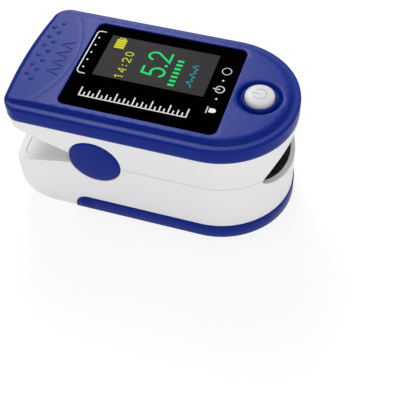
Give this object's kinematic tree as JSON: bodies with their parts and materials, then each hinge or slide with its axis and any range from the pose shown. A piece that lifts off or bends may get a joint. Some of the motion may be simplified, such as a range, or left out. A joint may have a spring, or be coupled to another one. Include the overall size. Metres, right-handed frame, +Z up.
{
  "type": "blood glucose meter",
  "caption": "Clip-on fingertip meter: two sprung jaws with padded finger opening, screen window, round push button and sliding battery cover.",
  "frame": {"origin": "middle of the footprint, on the surface that the closed meter lies on", "axes": "+X out of the finger opening, the button's end; +Y to the left side seen from the rear; +Z up through the window"},
  "size_m": [0.0616, 0.033, 0.0314],
  "materials": {
    "blue_cover": "satin",
    "white_shell": "satin",
    "inner_frame": "matt",
    "window": "polished",
    "screen": "satin",
    "button": "satin",
    "silicone": "matt",
    "board": "satin",
    "chip": "matt",
    "emitter": "polished",
    "sensor": "polished",
    "plunger": "matt",
    "lead": "satin",
    "steel": "satin",
    "spring_steel": "satin",
    "cell": "satin"
  },
  "bodies": {
    "lower_jaw": {"lower_shell": "white_shell", "lower_frame": "inner_frame", "lower_finger_pad": "silicone", "emitter_board": "board", "emitter_led": "emitter", "lower_screws": "steel", "lower_leads": "lead", "battery_left": "cell", "battery_right": "cell", "battery_bridge_contact": "spring_steel", "battery_positive_contact": "spring_steel", "battery_negative_contact": "spring_steel", "hinge_pin_left": "steel", "hinge_pin_right": "steel", "hinge_cap_left": "blue_cover", "hinge_cap_right": "blue_cover", "torsion_spring_left": "spring_steel", "torsion_spring_right": "spring_steel"},
    "upper_jaw": {"top_cover": "blue_cover", "display_lens": "window", "display_module": "screen", "display_bracket": "inner_frame", "main_board": "board", "controller_chip": "chip", "tact_switch": "chip", "photodiode": "sensor", "upper_shell": "white_shell", "upper_finger_pad": "silicone", "upper_screws": "steel", "upper_leads": "lead"},
    "button": {"power_button": "button", "switch_plunger": "plunger"},
    "sliding_cover": {"battery_cover": "blue_cover"}
  },
  "joints": [
    {"name": "jaw_hinge", "type": "hinge", "parent": "lower_jaw", "child": "upper_jaw", "pos_m": [-0.0099, 0, 0.0172], "axis": [0, -1, 0], "range_deg": [0, 24], "stiffness_Nm_per_rad": 0.08, "springref_deg": -34.38, "deforming": ["torsion_spring_left", "torsion_spring_right"]},
    {"name": "button_press", "type": "slide", "parent": "upper_jaw", "child": "button", "axis": [0, 0, -1], "range_m": [0, 0.0004], "stiffness_N_per_m": 3000},
    {"name": "cover_slide", "type": "slide", "parent": "lower_jaw", "child": "sliding_cover", "axis": [1, 0, 0], "range_m": [0, 0.05]}
  ]
}
